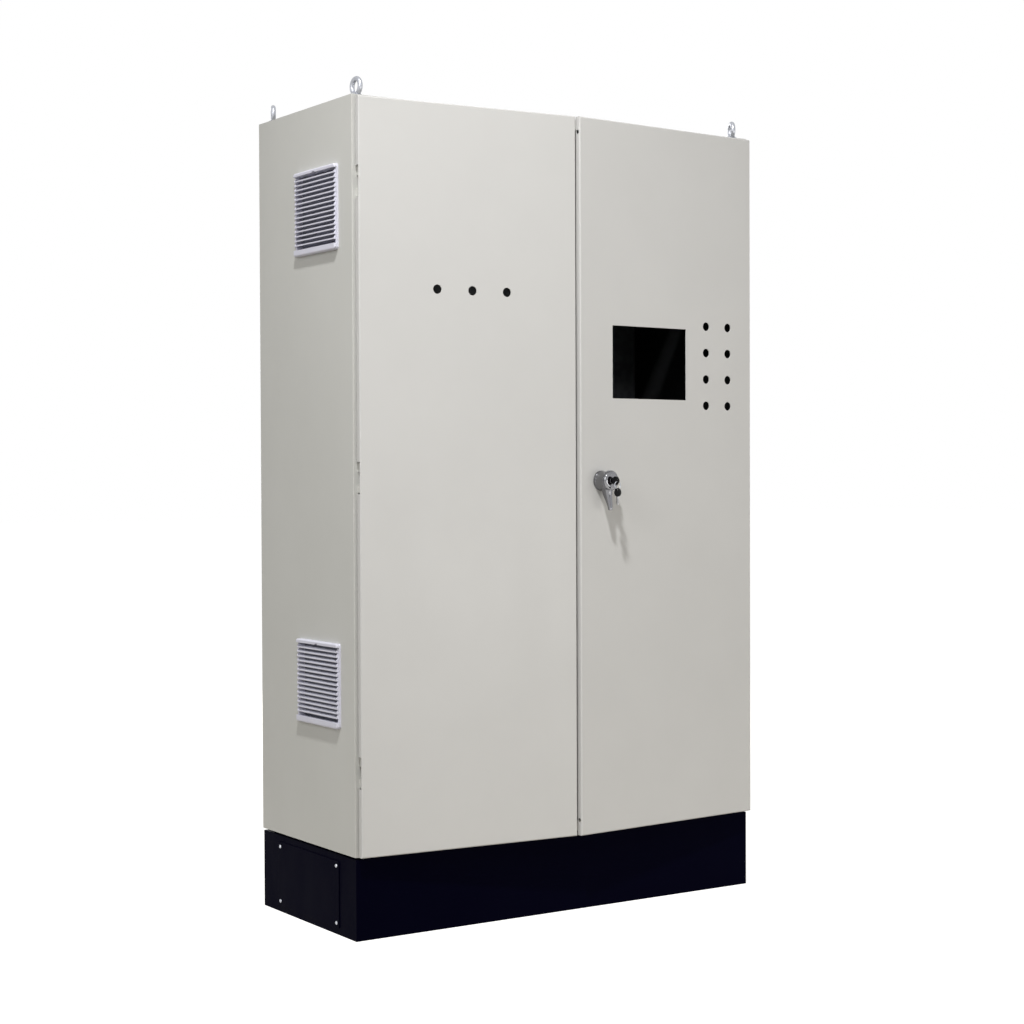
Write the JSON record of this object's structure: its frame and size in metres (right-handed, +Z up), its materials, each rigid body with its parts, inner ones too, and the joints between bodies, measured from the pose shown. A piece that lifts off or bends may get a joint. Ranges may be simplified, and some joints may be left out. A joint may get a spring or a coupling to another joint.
{
  "type": "control cabinet",
  "caption": "Free-standing steel control cabinet with two hinged doors, a black plinth, louvred side grilles, lifting eyes, a keyed rod lock and cut-outs for buttons and an operator panel.",
  "frame": {"origin": "on the floor at the centre of the plinth", "axes": "+Z up, the doors face -Y, +X to the right as seen from the front"},
  "size_m": [1.214, 0.6336, 2.048],
  "materials": {
    "body_coat": "fine powder coat",
    "door_coat": "fine powder coat",
    "plinth_coat": "satin black powder coat",
    "zinc": "bright zinc plate",
    "galvanised": "galvanised sheet",
    "grille_plastic": "smooth moulded",
    "filter": "non-woven mat",
    "gasket_foam": "foamed in place",
    "guide_plastic": "moulded",
    "lock_chrome": "bright",
    "key_black": "glossy moulded head"
  },
  "bodies": {
    "cabinet": {"side_panel_left": "body_coat", "side_panel_right": "body_coat", "roof_panel": "body_coat", "floor_panel": "body_coat", "rear_panel": "body_coat", "centre_post": "body_coat", "rim_left": "body_coat", "rim_right": "body_coat", "plinth_frame": "plinth_coat", "plinth_cover_left": "plinth_coat", "plinth_cover_right": "plinth_coat", "plinth_cover_screws": "zinc", "plinth_spacers": "zinc", "plinth_bolts": "zinc", "mounting_brackets": "zinc", "mounting_bolts": "zinc", "eye_bolt_front_left": "zinc", "eye_bolt_rear_left": "zinc", "eye_bolt_front_right": "zinc", "eye_bolt_rear_right": "zinc", "eye_bolt_nuts": "zinc", "hinge_body_leaves_left": "zinc", "hinge_body_leaves_right": "zinc", "hinge_pins_left": "zinc", "hinge_pins_right": "zinc", "gland_plates": "zinc", "mounting_plate": "galvanised", "grille_cover_upper": "grille_plastic", "grille_cover_lower": "grille_plastic", "grille_housing_upper": "grille_plastic", "grille_housing_lower": "grille_plastic", "filter_mat_upper": "filter", "filter_mat_lower": "filter"},
    "left_door": {"left_door": "door_coat", "gasket_left": "gasket_foam", "door_rails_left": "zinc", "hinge_door_leaves_left": "zinc", "bolt_guides": "guide_plastic"},
    "bolt_upper": {"door_bolt_upper": "zinc"},
    "bolt_lower": {"door_bolt_lower": "zinc"},
    "right_door": {"right_door": "door_coat", "gasket_right": "gasket_foam", "door_rails_right": "zinc", "hinge_door_leaves_right": "zinc", "lock_rosette": "lock_chrome", "lock_bridge": "zinc", "rod_guides": "guide_plastic"},
    "handle": {"lock_handle": "lock_chrome", "lock_pinion": "zinc"},
    "rod_up": {"rod_upper": "zinc"},
    "rod_down": {"rod_lower": "zinc"},
    "key_in_lock": {"lock_cylinder": "lock_chrome", "key": "key_black"},
    "keys_hanging": {"key_ring": "lock_chrome", "spare_key": "key_black"}
  },
  "joints": [
    {"name": "left_door_hinge", "type": "hinge", "parent": "cabinet", "child": "left_door", "pos_m": [-0.588, -0.2625, 0.2], "axis": [0, 0, -1], "range_deg": [-4.2, 110.8]},
    {"name": "right_door_hinge", "type": "hinge", "parent": "cabinet", "child": "right_door", "pos_m": [0.588, -0.2625, 0.2], "axis": [0, 0, 1], "range_deg": [-4.8, 110.2]},
    {"name": "bolt_upper_slide", "type": "slide", "parent": "left_door", "child": "bolt_upper", "axis": [0, 0, 1], "range_m": [0, 0.018]},
    {"name": "bolt_lower_slide", "type": "slide", "parent": "left_door", "child": "bolt_lower", "axis": [0, 0, -1], "range_m": [0, 0.018]},
    {"name": "handle_turn", "type": "hinge", "parent": "right_door", "child": "handle", "pos_m": [0.07087, -0.31245, 1.0885], "axis": [0.0837, -0.9965, 0], "range_deg": [0, 90]},
    {"name": "rod_up_slide", "type": "slide", "parent": "right_door", "child": "rod_up", "axis": [0, 0, 1], "range_m": [0, 0.0189]},
    {"name": "rod_down_slide", "type": "slide", "parent": "right_door", "child": "rod_down", "axis": [0, 0, -1], "range_m": [0, 0.0189]},
    {"name": "key_turn", "type": "hinge", "parent": "handle", "child": "key_in_lock", "pos_m": [0.07087, -0.31245, 1.0885], "axis": [0.0837, -0.9965, 0], "range_deg": [0, 90]},
    {"name": "key_ring_swing", "type": "hinge", "parent": "key_in_lock", "child": "keys_hanging", "pos_m": [0.07616, -0.37553, 1.087], "axis": [-0.9965, -0.0837, 0], "range_deg": [-12, 60]}
  ],
  "couplings": [
    {"joint": "rod_up_slide", "follows": "handle_turn", "m_per_rad": 0.012},
    {"joint": "rod_down_slide", "follows": "handle_turn", "m_per_rad": 0.012}
  ]
}
